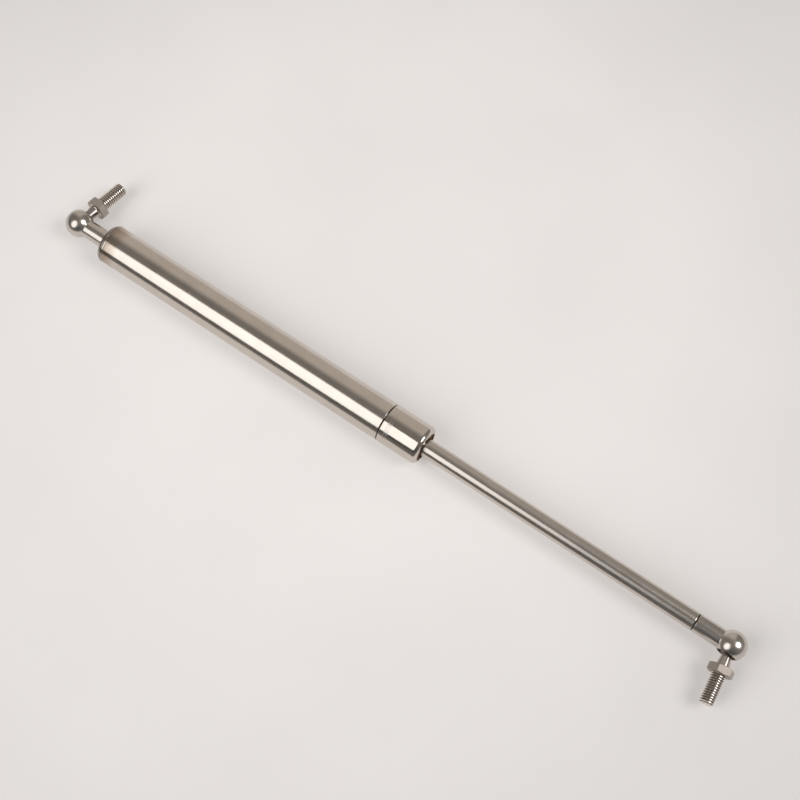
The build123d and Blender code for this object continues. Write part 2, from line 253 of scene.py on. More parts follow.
def clouded(steel, marks, size, share):
    """A slow cloudiness with a size in metres, and the marks with a share of it blended in."""
    place = add_node(steel, "ShaderNodeTexCoord")
    cloud = add_node(steel, "ShaderNodeTexNoise", {
        "Vector": place.outputs["Object"], "Scale": 1 / size, "Detail": 4.0, "Roughness": 0.6})
    blend = add_node(steel, "ShaderNodeMix", {
        "Factor_Float": share, "A_Float": marks, "B_Float": cloud.outputs["Fac"]})
    return cloud.outputs["Fac"], socket(blend.outputs, "Result_Float")


def polished_steel(name, dark, light, roughness, lines, line_bump, streak=0.0):
    """Polished stainless steel: lines is (width round, length along) in metres of its polishing marks.

    The dark and light tones and the two roughness levels lie at the two ends of the marks. A streak
    from 0 to 1 draws its highlights out along the piece's axis, as marks round it do.
    """
    steel = new_material(name)
    marks = fine_marks(steel, *lines)
    cloud, blended = clouded(steel, marks, size=0.012, share=0.45)
    tone = add_node(steel, "ShaderNodeValToRGB", {"Fac": blended}, stops=[
        (MARKS_LOW, linear(dark)), (MARKS_HIGH, linear(light))])
    gloss = add_node(steel, "ShaderNodeMapRange", {
        "Value": blended, "From Min": MARKS_LOW, "From Max": MARKS_HIGH,
        "To Min": roughness[0], "To Max": roughness[1]})
    bump = add_node(steel, "ShaderNodeBump", {"Height": marks, "Strength": 1.0, "Distance": line_bump})
    round_it = add_node(steel, "ShaderNodeTangent", direction_type="UV_MAP")
    join_shader(steel, add_node(steel, "ShaderNodeBsdfPrincipled", {
        "Base Color": tone.outputs["Color"], "Metallic": 1.0, "Roughness": gloss.outputs["Result"],
        "Normal": bump.outputs["Normal"], "Tangent": round_it.outputs["Tangent"],
        "Anisotropic": streak, "Anisotropic Rotation": 0.25}))
    return steel


tube_low, tube_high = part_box("cylinder_tube")
tube_start = tube_low.x / MM
tube_mouth = tube_high.x / MM
tube_radius = -tube_low.z / MM
tube_bead = tube_mouth - BEAD_FROM_MOUTH


def tube_profile():
    """Section of the tube wall, from the blind hole round the outside, the mouth and the bore."""
    bore = tube_radius - TUBE_WALL
    outside = [(tube_start, BLIND_HOLE_RADIUS, BLIND_HOLE_ROUNDING), (tube_start, tube_radius, BLIND_CORNER)]
    for distance, depth in TOOL_RINGS:
        ring = tube_start + distance + BLIND_CORNER / 2
        outside += [
            (ring - TOOL_RING_HALF_WIDTH, tube_radius, 0.0), (ring, tube_radius - depth, TOOL_RING_ROUNDING),
            (ring + TOOL_RING_HALF_WIDTH, tube_radius, 0.0)]
    outside += [
        (tube_bead - BEAD_GROOVE_HALF_WIDTH, tube_radius, BEAD_EDGE_ROUNDING),
        (tube_bead, tube_radius - BEAD_GROOVE_DEPTH, BEAD_ROOT_ROUNDING),
        (tube_bead + BEAD_GROOVE_HALF_WIDTH, tube_radius, BEAD_EDGE_ROUNDING),
        (tube_mouth - MOUTH_SLOPE, tube_radius, MOUTH_ROUNDING),
        (tube_mouth, tube_radius - MOUTH_DROP, MOUTH_ROUNDING),
        (tube_mouth, MOUTH_HOLE_RADIUS, MOUTH_LIP_ROUNDING)]
    inside = [
        (tube_mouth - TUBE_WALL, MOUTH_HOLE_RADIUS, MOUTH_LIP_ROUNDING),
        (tube_mouth - TUBE_WALL, bore, BORE_ROUNDING), (tube_bead + BEAD_RISE_HALF_WIDTH, bore, 0.0),
        (tube_bead, bore - BEAD_RISE, BORE_ROUNDING), (tube_bead - BEAD_RISE_HALF_WIDTH, bore, 0.0),
        (tube_start + TUBE_WALL, bore, BLIND_INNER_CORNER), (tube_start + TUBE_WALL, BLIND_HOLE_RADIUS, 0.0)]
    return rounded(outside + inside)


def heat_tinted(steel, along, tone, cloud):
    """The tone with the blind end's heat tint over it: dark rings by the tool marks, then straw."""
    from_end = add_node(steel, "ShaderNodeMapRange", {
        "Value": along, "From Min": tube_start * MM, "From Max": (tube_start + HEAT_TINT_LENGTH) * MM})
    oxide = add_node(steel, "ShaderNodeValToRGB", {"Fac": from_end.outputs["Result"]}, stops=[
        (0.08, linear("#665D56")), (0.14, linear("#D9D5D6")), (0.195, linear("#D9D5D6")),
        (0.22, linear("#8F8884")), (0.25, linear("#DAD4D2")), (0.31, linear("#D2CAC4")),
        (0.33, linear("#98908A")), (0.35, linear("#C9BEB4")), (0.60, linear("#D9CCBF")),
        (1.0, linear("#FFFFFF"))])
    patchy = add_node(steel, "ShaderNodeMapRange", {
        "Value": cloud, "From Min": 0.35, "From Max": 0.62, "To Min": 0.55, "To Max": 1.0})
    tinted = add_node(steel, "ShaderNodeMix", {
        "Factor_Float": patchy.outputs["Result"], "A_Color": tone, "B_Color": oxide.outputs["Color"]},
        data_type="RGBA", blend_type="MULTIPLY")
    return socket(tinted.outputs, "Result_Color")


def dirt_and_shade_in_groove(steel, place, along, tone):
    """The tone with painted shade and dark dirt in the bead's groove, where the surface is below the tube's
    outside.
    """
    at_bead = add_node(steel, "ShaderNodeMath", {
        "Value": along, "Value_001": tube_bead * MM, "Value_002": DIRT_AND_SHADE_HALF_WIDTH * MM},
        operation="COMPARE")
    across = add_node(steel, "ShaderNodeVectorMath", {
        "Vector": place, "Vector_001": (0.0, 1.0, 1.0)}, operation="MULTIPLY")
    radius = add_node(steel, "ShaderNodeVectorMath", {
        "Vector": across.outputs["Vector"]}, operation="LENGTH").outputs["Value"]
    unshaded_radius, fully_shaded_radius = [(tube_radius - depth) * MM for depth in DIRT_AND_SHADE_DEPTHS]
    sunk = add_node(steel, "ShaderNodeMapRange", {"Value": radius, "From Min": unshaded_radius, "From Max": fully_shaded_radius})
    # Painted shade, with some dirt: the deeper the surface sinks in the groove, the darker it is.
    dirt_and_shade = add_node(steel, "ShaderNodeMath", {
        "Value": at_bead.outputs[0], "Value_001": sunk.outputs["Result"]}, operation="MULTIPLY")
    dirtied_and_shaded = add_node(steel, "ShaderNodeMix", {
        "Factor_Float": dirt_and_shade.outputs[0], "A_Color": tone, "B_Color": linear("#554D46")},
        data_type="RGBA")
    return socket(dirtied_and_shaded.outputs, "Result_Color")


def tube_gloss(steel, along, blended):
    """Roughness of the satin tube, lower on the buffed collar between the bead and the mouth."""
    collar = add_node(steel, "ShaderNodeMapRange", {
        "Value": along, "From Min": tube_bead * MM, "From Max": (tube_bead + COLLAR_FADE) * MM})
    satin, buffed = [
        add_node(steel, "ShaderNodeMapRange", {
            "Value": blended, "From Min": MARKS_LOW, "From Max": MARKS_HIGH, "To Min": low, "To Max": high})
        for low, high in ((0.14, 0.19), (0.09, 0.13))]
    gloss = add_node(steel, "ShaderNodeMix", {
        "Factor_Float": collar.outputs["Result"], "A_Float": satin.outputs["Result"],
        "B_Float": buffed.outputs["Result"]})
    return socket(gloss.outputs, "Result_Float")


def tool_scratches(steel, along):
    """Roughness that the rolling tool's fine scratches add, in a band round the collar."""
    band_start, band_end = [(tube_bead + distance) * MM for distance in SCRATCH_BAND]
    band_in = add_node(steel, "ShaderNodeMapRange", {
        "Value": along, "From Min": band_start, "From Max": band_start + SCRATCH_FADE * MM})
    band_out = add_node(steel, "ShaderNodeMapRange", {
        "Value": along, "From Min": band_end, "From Max": band_end - SCRATCH_FADE * MM})
    band = add_node(steel, "ShaderNodeMath", {
        "Value": band_in.outputs["Result"], "Value_001": band_out.outputs["Result"]}, operation="MULTIPLY")
    fine = add_node(steel, "ShaderNodeMapRange", {
        "Value": fine_marks(steel, width=0.03, length=0.0002, detail=2.0, roughness=0.5),
        "From Min": 0.42, "From Max": 0.62, "To Min": 0.0, "To Max": 0.22})
    scratches = add_node(steel, "ShaderNodeMath", {
        "Value": band.outputs[0], "Value_001": fine.outputs["Result"]}, operation="MULTIPLY")
    return scratches.outputs[0]


def satin_tube_steel():
    """Stainless steel 304, drawn and then satin polished along the tube: a warm grey metal.

    The real lines are some 0.02 mm wide; here they are 0.3 mm, as coarse as they need to show.
    """
    steel = new_material("drawn_satin_stainless_steel")
    place = add_node(steel, "ShaderNodeTexCoord").outputs["Object"]
    along = add_node(steel, "ShaderNodeSeparateXYZ", {"Vector": place}).outputs["X"]
    lines = fine_marks(steel, width=0.0003, length=0.08)
    cloud, blended = clouded(steel, lines, size=0.010, share=0.5)
    tone = add_node(steel, "ShaderNodeValToRGB", {"Fac": blended}, stops=[
        (MARKS_LOW, linear("#C5BDB4")), (MARKS_HIGH, linear("#D2CAC1"))])
    tinted = heat_tinted(steel, along, tone.outputs["Color"], cloud)
    roughness = add_node(steel, "ShaderNodeMath", {
        "Value": tube_gloss(steel, along, blended), "Value_001": tool_scratches(steel, along)},
        operation="ADD")
    bump = add_node(steel, "ShaderNodeBump", {"Height": lines, "Strength": 1.0, "Distance": 0.0000004})
    join_shader(steel, add_node(steel, "ShaderNodeBsdfPrincipled", {
        "Base Color": dirt_and_shade_in_groove(steel, place, along, tinted), "Metallic": 1.0,
        "Roughness": roughness.outputs[0], "Normal": bump.outputs["Normal"]}))
    return steel


finished(
    turned(bmesh.new(), tube_profile()), "satin_cylinder_tube", satin_tube_steel(),
    "cylinder", "tube_steel", "cylinder_tube")


# ======================================================================================
# End plug
# Turned steel plug that closes the blind end. Only its boss shows, as a narrow ring round
# the fitting's shank, and the screwed spigot is inside the fitting.
# ======================================================================================

BOSS_RADIUS = 6.45
BOSS_DEPTH = 1.5
PLUG_FLANGE_RADIUS = 9.45
PLUG_LENGTH = 11.0
PLUG_FLANGE_ROUNDING = 1.0
PLUG_ROUNDING = 0.4
BOSS_ROUNDING = 0.12
SPIGOT_RADIUS = 2.95
SPIGOT_LENGTH = 10.0
SPIGOT_ROUNDING = 0.4


def plug_profile():
    """Section of the plug from its spigot's tip to its inner face."""
    flange = tube_start + BOSS_DEPTH
    spigot_tip = tube_start - SPIGOT_LENGTH
    return rounded([
        (spigot_tip, 0.0, 0.0), (spigot_tip, SPIGOT_RADIUS, SPIGOT_ROUNDING),
        (tube_start, SPIGOT_RADIUS, 0.0), (tube_start, BOSS_RADIUS, BOSS_ROUNDING),
        (flange, BOSS_RADIUS, 0.0), (flange, PLUG_FLANGE_RADIUS, PLUG_FLANGE_ROUNDING),
        (flange + PLUG_LENGTH, PLUG_FLANGE_RADIUS, PLUG_ROUNDING), (flange + PLUG_LENGTH, 0.0, 0.0)],
        closed=False)


# Plain turned steel with the fine rings of the tool's feed, here 0.15 mm apart.
TURNED_STEEL_TONES = ("#A39C93", "#BBB4AA")
turned_steel = polished_steel(
    "turned_steel", *TURNED_STEEL_TONES, (0.28, 0.38), (0.03, 0.00015), 0.000003)
finished(
    turned(bmesh.new(), plug_profile(), closed=False), "turned_end_plug", turned_steel,
    "cylinder", "turned_steel", "end_plug")


# ======================================================================================
# Guide pack at the mouth
# Steel washer that the rolled mouth bears on, and the rubber wiper whose lip shows inside
# it. Behind them are the aluminium guide with its bush, the gas seal and two washers.
# ======================================================================================

WASHER_FROM_MOUTH = 1.5
WASHER_THICKNESS = 0.9
WASHER_HOLE_RADIUS = 6.6
WASHER_RIM_ROUNDING = 0.5
WASHER_HOLE_ROUNDING = 0.15
WIPER_LIP_HEIGHT = 0.6
WIPER_LIP_WIDTH = 1.2
WIPER_LIP_ROUNDING = 0.3
WIPER_EDGE_ROUNDING = 0.15
WIPER_ROOT_ROUNDING = 0.1
WIPER_THICKNESS = 2.6
ROD_BORE_RADIUS = 5.05
PACK_RADIUS = 9.45


def washer_profile():
    """Section of the washer, its outer edge rounded to fit the rolled corner."""
    outer_face = tube_mouth - WASHER_FROM_MOUTH
    inner_face = outer_face - WASHER_THICKNESS
    return rounded([
        (inner_face, WASHER_HOLE_RADIUS, 0.0), (inner_face, PACK_RADIUS, 0.0),
        (outer_face, PACK_RADIUS, WASHER_RIM_ROUNDING),
        (outer_face, WASHER_HOLE_RADIUS, WASHER_HOLE_ROUNDING)])


def wiper_profile():
    """Section of the wiper with its lip."""
    step = tube_mouth - WASHER_FROM_MOUTH - WASHER_THICKNESS
    lip_radius = ROD_BORE_RADIUS + WIPER_LIP_WIDTH
    return rounded([
        (step - WIPER_THICKNESS, ROD_BORE_RADIUS, 0.0), (step - WIPER_THICKNESS, PACK_RADIUS, 0.0),
        (step, PACK_RADIUS, 0.0), (step, lip_radius, WIPER_ROOT_ROUNDING),
        (step + WIPER_LIP_HEIGHT, lip_radius, WIPER_LIP_ROUNDING),
        (step + WIPER_LIP_HEIGHT, ROD_BORE_RADIUS, WIPER_EDGE_ROUNDING)])


def grained(name, grain, tones, gloss, surface, relief=None, detail=3.0):
    """Material whose tone and roughness follow one grain.

    The grain is its size in metres along X, Y and Z. Tones and gloss hold the colour and the
    roughness at its two ends, surface the shader's other values, and relief the strength and the
    height in metres of its bumps.
    """
    material = new_material(name)
    place = add_node(material, "ShaderNodeTexCoord")
    scaled = add_node(material, "ShaderNodeMapping", {
        "Vector": place.outputs["Object"], "Scale": [1 / size for size in grain]})
    pattern = add_node(material, "ShaderNodeTexNoise", {
        "Vector": scaled.outputs["Vector"], "Scale": 1.0, "Detail": detail}).outputs["Fac"]
    tone = add_node(material, "ShaderNodeValToRGB", {"Fac": pattern}, stops=[
        (0.35, linear(tones[0])), (0.65, linear(tones[1]))])
    roughness = add_node(material, "ShaderNodeMapRange", {
        "Value": pattern, "To Min": gloss[0], "To Max": gloss[1]})
    values = surface | {"Base Color": tone.outputs["Color"], "Roughness": roughness.outputs["Result"]}
    if relief:
        bump = add_node(material, "ShaderNodeBump", {
            "Height": pattern, "Strength": relief[0], "Distance": relief[1]})
        values["Normal"] = bump.outputs["Normal"]
    join_shader(material, add_node(material, "ShaderNodeBsdfPrincipled", values))
    return material


def moulded_rubber():
    """Moulded nitrile rubber: near black, dull, with the fine grain of its mould."""
    return grained(
        "moulded_nitrile_rubber", (0.0004, 0.0004, 0.0004), ("#1B1A19", "#2A2826"), (0.50, 0.75),
        {"IOR": 1.52}, relief=(0.6, 0.00002))


def oiled_steel():
    """Pressed steel washer inside the mouth, stained brown by oil and old grease."""
    steel = new_material("oiled_pressed_steel")
    place = add_node(steel, "ShaderNodeTexCoord")
    stain = add_node(steel, "ShaderNodeTexNoise", {
        "Vector": place.outputs["Object"], "Scale": 1 / 0.002, "Detail": 4.0, "Roughness": 0.65})
    tone = add_node(steel, "ShaderNodeValToRGB", {"Fac": stain.outputs["Fac"]}, stops=[
        (0.35, linear("#80512F")), (0.70, linear("#AE8562"))])
    gloss = add_node(steel, "ShaderNodeMapRange", {
        "Value": stain.outputs["Fac"], "To Min": 0.30, "To Max": 0.60})
    join_shader(steel, add_node(steel, "ShaderNodeBsdfPrincipled", {
        "Base Color": tone.outputs["Color"], "Metallic": 0.9, "Roughness": gloss.outputs["Result"]}))
    return steel


rubber = moulded_rubber()
finished(
    turned(bmesh.new(), washer_profile()), "mouth_washer", oiled_steel(),
    "cylinder", "turned_steel", "outer_washer")
finished(
    turned(bmesh.new(), wiper_profile()), "rod_wiper", rubber, "cylinder", "seal_rubber", "wiper_ring")


FEED_RINGS = (0.00015, 0.02, 0.02)    # metres along X, Y and Z: fine rings round a turned piece


def machined_aluminium():
    """Turned aluminium: a light cool grey with fine rings and a soft shine."""
    return grained(
        "turned_aluminium", FEED_RINGS, ("#BFC1C2", "#DADCDD"), (0.28, 0.42), {"Metallic": 1.0},
        relief=(0.5, 0.000004), detail=2.0)


def bearing_bronze():
    """Sintered bronze bush: dull brown-gold, grainy from its pressed powder."""
    return grained(
        "sintered_bronze", (0.0003, 0.0003, 0.0003), ("#8C6A3C", "#B58E58"), (0.40, 0.58),
        {"Metallic": 1.0})


def bearing_plastic():
    """Machined PTFE-filled plastic: milky off-white, slightly waxy."""
    return grained(
        "milky_bearing_plastic", (0.0015, 0.0015, 0.0015), ("#DAD6CC", "#E9E6DE"), (0.32, 0.45),
        {"IOR": 1.45, "Subsurface Weight": 0.05})


def feed_ring_steel():
    """Turned steel of the pieces inside the tube, which have no UVs: rings along the strut."""
    return grained(
        "turned_steel_inside", FEED_RINGS, TURNED_STEEL_TONES, (0.28, 0.40), {"Metallic": 1.0},
        detail=2.0)


def dress(material, *nodes):
    """Gives CAD nodes that keep their own shape a material."""
    for node in nodes:
        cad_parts[node].data.materials.clear()
        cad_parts[node].data.materials.append(material)


aluminium = machined_aluminium()
plastic = bearing_plastic()
inner_steel = feed_ring_steel()
dress(aluminium, "rod_guide", "piston")
dress(bearing_bronze(), "guide_bush")
dress(rubber, "end_plug_seal", "guide_seal", "rod_seal")
dress(inner_steel, "seal_backing_washer", "support_washer")


# ======================================================================================
# Piston rod and piston pack
# Ground and polished stainless bar. A piston with its seal ring, valve disc and washers is
# clamped on its inner end by a nut; a spigot screws into the fitting at the outer end.
# ======================================================================================

ROD_END_CHAMFER = 0.35
ROD_CHAMFER_ROUNDING = 0.1
ROD_END_ROUNDING = 0.6
ROD_STEPS = 160
JOINT_SLOT_HALF_WIDTH = 0.25    # each side of the joint between rod and fitting falls back this far
JOINT_SLOT_RADIUS = 4.6
SLOT_RIM = 0.15                 # the slot's faces lie at least this far inside the piece's outside
WEAR_RING_FROM_FACE = 30.0
WEAR_RING_HALF_WIDTH = 0.2
WEAR_RING_DEPTH = 0.03

rod_low, rod_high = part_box("piston_rod")
rod_radius = rod_high.z / MM
rod_face = rod_high.x / MM - SPIGOT_LENGTH
rod_inner = rod_low.x / MM
rod_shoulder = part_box("piston_front_washer")[1].x / MM


def rod_profile():
    """Section of the rod with its two spigots and a faint ring worn round it."""
    worn = rod_face - WEAR_RING_FROM_FACE
    slot = rod_face - JOINT_SLOT_HALF_WIDTH
    spigot_tip = rod_face + SPIGOT_LENGTH
    return rounded([
        (rod_inner, 0.0, 0.0), (rod_inner, SPIGOT_RADIUS, SPIGOT_ROUNDING),
        (rod_shoulder, SPIGOT_RADIUS, 0.0), (rod_shoulder, rod_radius - ROD_END_CHAMFER, 0.0),
        (rod_shoulder + ROD_END_CHAMFER, rod_radius, ROD_CHAMFER_ROUNDING),
        (worn - WEAR_RING_HALF_WIDTH, rod_radius, 0.0), (worn, rod_radius - WEAR_RING_DEPTH, 0.0),
        (worn + WEAR_RING_HALF_WIDTH, rod_radius, 0.0), (slot, rod_radius, ROD_END_ROUNDING),
        (slot, JOINT_SLOT_RADIUS, 0.0), (rod_face, JOINT_SLOT_RADIUS, 0.0), (rod_face, SPIGOT_RADIUS, 0.0),
        (spigot_tip, SPIGOT_RADIUS, SPIGOT_ROUNDING), (spigot_tip, 0.0, 0.0)], closed=False)


def sealant_and_shade():
    """Thread-sealing compound pressed out of the screwed joint, where it fills the slot, and painted shade in
    that slot: brown-black, dull.
    """
    return grained(
        "dark_thread_sealant_and_painted_shade", (0.0008, 0.0008, 0.0008), ("#1F1B18", "#3A322C"), (0.4, 0.6), {"IOR": 1.5})


def darken_joint_slot(bm, face_along, outer_radius):
    """Marks the slot beside a joint face, given in mm along X, to take the piece's second material."""
    # The slot's faces get the dark finish: sealant together with painted shade.
    for face in bm.faces:
        centre = face.calc_center_median() / MM
        beside = abs(centre.x - face_along) < 2 * JOINT_SLOT_HALF_WIDTH
        if beside and Vector(centre.yz).length < outer_radius - SLOT_RIM:
            face.material_index = 1
    return bm


# Stainless bar, centreless ground and polished: rings round it too fine to see, here drawn
# 0.12 mm wide, and a bright shine that they draw out along the rod.
ground_stainless = polished_steel(
    "ground_polished_stainless_steel", "#C7BFB6", "#D2CAC2", (0.18, 0.22), (0.02, 0.00012), 0.0000001,
    streak=0.88)
joint_sealant_and_shade = sealant_and_shade()
rod = finished(
    darken_joint_slot(turned(bmesh.new(), rod_profile(), closed=False, steps=ROD_STEPS), rod_face, rod_radius),
    "ground_piston_rod", ground_stainless, "rod", "rod_steel", "piston_rod")
rod.data.materials.append(joint_sealant_and_shade)
dress(plastic, "piston_seal_ring")
dress(inner_steel, "piston_front_washer", "valve_disc", "piston_rear_washer", "piston_nut")


# ======================================================================================
# Ball fittings
# Round housing and shank turned from one stainless bar and polished. The housing is bored
# from one side for the ball, with a plastic cup below the ball and a split wire ring over it.
# ======================================================================================

HOUSING_RADIUS = 7.75
SHANK_RADIUS = 5.0
FITTING_REACH = 20.5
SHANK_END_ROUNDING = 0.35
NECK_BLEND = 0.8
AFTER_BLEND = 0.2            # the shank is straight from here on
MOUTH_PLANE = 5.5
BALL_BORE_RADIUS = 5.1
MOUTH_EDGE_BREAK = 0.14
BALL_RADIUS = 5.0
CUP_WALL = 0.59
CUP_TOP = -2.0
RING_BOTTOM = 2.65
RING_THICKNESS = 1.1
RING_INNER_RADIUS = 4.30
RING_OUTER_RADIUS = 5.85
RING_EDGE_ROUNDING = 0.15
RING_SPLIT = 2.5
RING_STEPS = 120
FIT_GAP = 0.05               # between the wire ring and its groove, and between cup and bore
SEAT_GAP = 0.03              # between the cup and the ball, and under the cup in the housing
DRAIN_HOLE_RADIUS = 1.0
CUTTER_REACH = 1.0           # the bore's cutter stands this far out of the housing
HOUSING_STEPS = 192
BALL_STEPS = 80
BLEND_STEPS = 8
BORE_STEPS = 24
CUP_STEPS = 16
CUP_TURN_STEPS = 96
HOUSING_DIP = radians(5.0)


def fitting_frame(centre_along, direction, side):
    """Ball centre with X along the shank and Z out of the housing's mouth."""
    shank = Vector((direction, 0, 0))
    mouth = Vector((0, side * cos(HOUSING_DIP), -sin(HOUSING_DIP)))
    across = mouth.cross(shank)
    turn = Matrix((shank, across, mouth)).transposed().to_4x4()
    return Matrix.Translation(Vector((centre_along, 0, 0)) * MM) @ turn


def housing_profile():
    """Section of housing and shank about the shank's axis, with the small blend between them."""
    blend_radius = SHANK_RADIUS + NECK_BLEND
    blend_along = sqrt((HOUSING_RADIUS + NECK_BLEND) ** 2 - blend_radius ** 2)
    blend_centre = Vector((blend_along, blend_radius))
    meeting = blend_centre * (HOUSING_RADIUS / (HOUSING_RADIUS + NECK_BLEND))
    turn_end = Vector((-1, 0)).angle(meeting)
    points = []
    for step in range(BALL_STEPS + 1):
        angle = turn_end * step / BALL_STEPS
        points.append(Vector((-cos(angle), sin(angle))) * HOUSING_RADIUS)
    inward = (meeting - blend_centre).normalized()
    down = Vector((0, -1))
    sweep = inward.angle(down)
    for step in range(1, BLEND_STEPS + 1):
        share = step / BLEND_STEPS
        arm = inward * sin((1 - share) * sweep) + down * sin(share * sweep)
        points.append(blend_centre + arm / sin(sweep) * NECK_BLEND)
    slot = FITTING_REACH - JOINT_SLOT_HALF_WIDTH
    points += rounded([
        (blend_along + AFTER_BLEND, SHANK_RADIUS, 0.0), (slot, SHANK_RADIUS, SHANK_END_ROUNDING),
        (slot, JOINT_SLOT_RADIUS, 0.0), (FITTING_REACH, JOINT_SLOT_RADIUS, 0.0),
        (FITTING_REACH, 0.0, 0.0)], closed=False)
    return points


def bore_profile():
    """Section of what is cut out for the ball, its cup and its ring, about the mouth's axis."""
    cup = BALL_RADIUS + CUP_WALL + 2 * SEAT_GAP
    start = sqrt(cup ** 2 - BALL_BORE_RADIUS ** 2)
    points = []
    for step in range(BORE_STEPS + 1):
        angle = (pi / 2) * step / BORE_STEPS
        spot = Vector((-cos(angle), sin(angle))) * cup
        if spot.y < BALL_BORE_RADIUS:
            points.append(spot)
    groove_radius = RING_OUTER_RADIUS + FIT_GAP
    ring_top = RING_BOTTOM + RING_THICKNESS
    cutter_top = HOUSING_RADIUS + CUTTER_REACH
    points += rounded([
        (-start, BALL_BORE_RADIUS, 0.0), (RING_BOTTOM, BALL_BORE_RADIUS, 0.0),
        (RING_BOTTOM, groove_radius, 0.0), (ring_top, groove_radius, 0.0),
        (ring_top, BALL_BORE_RADIUS, 0.0), (MOUTH_PLANE - MOUTH_EDGE_BREAK, BALL_BORE_RADIUS, 0.0),
        (MOUTH_PLANE, BALL_BORE_RADIUS + MOUTH_EDGE_BREAK, 0.0), (MOUTH_PLANE, HOUSING_RADIUS, 0.0),
        (cutter_top, HOUSING_RADIUS, 0.0), (cutter_top, 0.0, 0.0)], closed=False)
    return points


X_TO_Z = Matrix(((0, 0, -1, 0), (0, 1, 0, 0), (1, 0, 0, 0), (0, 0, 0, 1)))


def housing_mesh():
    """Housing and shank with the ball's bore cut out, in the fitting's own frame."""
    blank = as_object(turned(bmesh.new(), housing_profile(), closed=False, steps=HOUSING_STEPS), "blank")
    cutter = as_object(
        turned(bmesh.new(), bore_profile(), place=X_TO_Z, closed=False, steps=HOUSING_STEPS), "bore_cutter")
    cut = blank.modifiers.new("bore", "BOOLEAN")
    cut.operation = "DIFFERENCE"
    cut.solver = "EXACT"
    cut.object = cutter
    graph = bpy.context.evaluated_depsgraph_get()
    mesh = bpy.data.meshes.new_from_object(blank.evaluated_get(graph))
    for used in (blank, cutter):
        bpy.data.objects.remove(used)
    return mesh


def seat_cup_profile():
    """Section of the cup, from its drain hole up its outside and back down its inside."""
    outer = BALL_RADIUS + CUP_WALL + SEAT_GAP
    inner = BALL_RADIUS + SEAT_GAP
    points = []
    for sphere, shares in ((outer, range(CUP_STEPS + 1)), (inner, range(CUP_STEPS, -1, -1))):
        hole, rim = DRAIN_HOLE_RADIUS / sphere, sqrt(1 - (CUP_TOP / sphere) ** 2)
        for step in shares:
            radius = sphere * (hole + (rim - hole) * step / CUP_STEPS)
            points.append(Vector((-sqrt(sphere ** 2 - radius ** 2), radius)))
    return [Vector((point.x, min(point.y, BALL_BORE_RADIUS - FIT_GAP))) for point in points]


def split_ring(bm, place):
    """Adds the split ring: a flat-section wire bent nearly once round, with its edges broken."""
    top = RING_BOTTOM + RING_THICKNESS
    section = rounded([
        (RING_BOTTOM, RING_INNER_RADIUS, RING_EDGE_ROUNDING),
        (RING_BOTTOM, RING_OUTER_RADIUS, RING_EDGE_ROUNDING),
        (top, RING_OUTER_RADIUS, RING_EDGE_ROUNDING), (top, RING_INNER_RADIUS, RING_EDGE_ROUNDING)])
    half_gap = RING_SPLIT / 2 / RING_OUTER_RADIUS
    loops = []
    for step in range(RING_STEPS + 1):
        angle = half_gap + (tau - 2 * half_gap) * step / RING_STEPS
        loops.append([
            bm.verts.new(place @ (Vector((point.y * cos(angle), point.y * sin(angle), point.x)) * MM))
            for point in section])
    count = len(section)
    for low, high in zip(loops, loops[1:]):
        for number in range(count):
            after = (number + 1) % count
            bm.faces.new((low[number], low[after], high[after], high[number]))
    bm.faces.new(loops[0])
    bm.faces.new(loops[-1])
    return bm


# Stainless bar, turned and then polished on a wheel: a soft shine with faint rings left.
polished_stainless = polished_steel(
    "turned_polished_stainless_steel", "#C5BEB6", "#D1CAC3", (0.18, 0.25), (0.015, 0.00018), 0.0000003,
    streak=0.4)


def spring_wire():
    """Blued spring wire, bent to a ring: near black with a hard shine."""
    return grained(
        "blued_spring_wire", (0.0008, 0.0008, 0.0008), ("#3A3735", "#55504B"), (0.20, 0.34),
        {"Metallic": 1.0})


wire = spring_wire()
housing = housing_mesh()
fittings = {
    "tube_end": (fitting_frame(0.0, 1, 1), "cylinder"),
    "rod_end": (fitting_frame(rod_face + FITTING_REACH, -1, -1), "rod")}
for end, (place, body) in fittings.items():
    bm = bmesh.new()
    bm.from_mesh(housing)
    darken_joint_slot(bm, FITTING_REACH, SHANK_RADIUS)
    bm.transform(place)
    made = finished(bm, end + "_ball_housing", polished_stainless, body, "socket_steel", end + "_socket")
    made.data.materials.append(joint_sealant_and_shade)
    finished(
        turned(bmesh.new(), seat_cup_profile(), place=place @ X_TO_Z, steps=CUP_TURN_STEPS),
        end + "_plastic_cup", plastic, end + "_seat", "seat_plastic", end + "_seat_cup")
    finished(
        split_ring(bmesh.new(), place), end + "_wire_ring", wire, body, "ring_steel", end + "_snap_ring")


# ======================================================================================
# Ball studs
# Ball, cone neck, hexagon and threaded end turned from one stainless hexagon bar. The ball
# and neck are polished, the hexagon is left as milled, and the M8 thread is rolled.
# ======================================================================================

NECK_START_RADIUS = 2.4
NECK_END_RADIUS = 3.7
NECK_FILLET = 0.8
COLLAR_WIDTH = 1.2           # the neck ends in a flat collar, let into the hexagon
COLLAR_DEPTH = 0.5
STUD_BALL_STEPS = 64
STUD_STEPS = 128
STUD_TILTS = {"tube_end": radians(7.0), "rod_end": radians(-7.5)}    # along the strut
HEX_TURNS = {"tube_end": 0.0, "rod_end": radians(-12.0)}
HEX_START = 11.8
HEX_THICKNESS = 4.0
HEX_ACROSS_FLATS = 12.0
HEX_CORNER_CUT = 0.9
HEX_CONE_SLOPE = 0.5         # the cone that takes off the corners drops this much for each mm outwards
HEX_EDGE_BREAK = 0.01
HEX_EDGE_STEPS = 20          # points along each of the six sides
THREAD_RADIUS = 4.0
THREAD_PITCH = 1.25
THREAD_LENGTH = 16.0
CREST_SHARE = 0.125          # the crest's width, the root's width and the depth, as shares of the pitch
ROOT_SHARE = 0.25
DEPTH_SHARE = 0.6134
TIP_CHAMFER = 0.8
THREAD_MERGE = 0.004
THREAD_TURN_STEPS = 96
THREAD_TOOTH_STEPS = 16


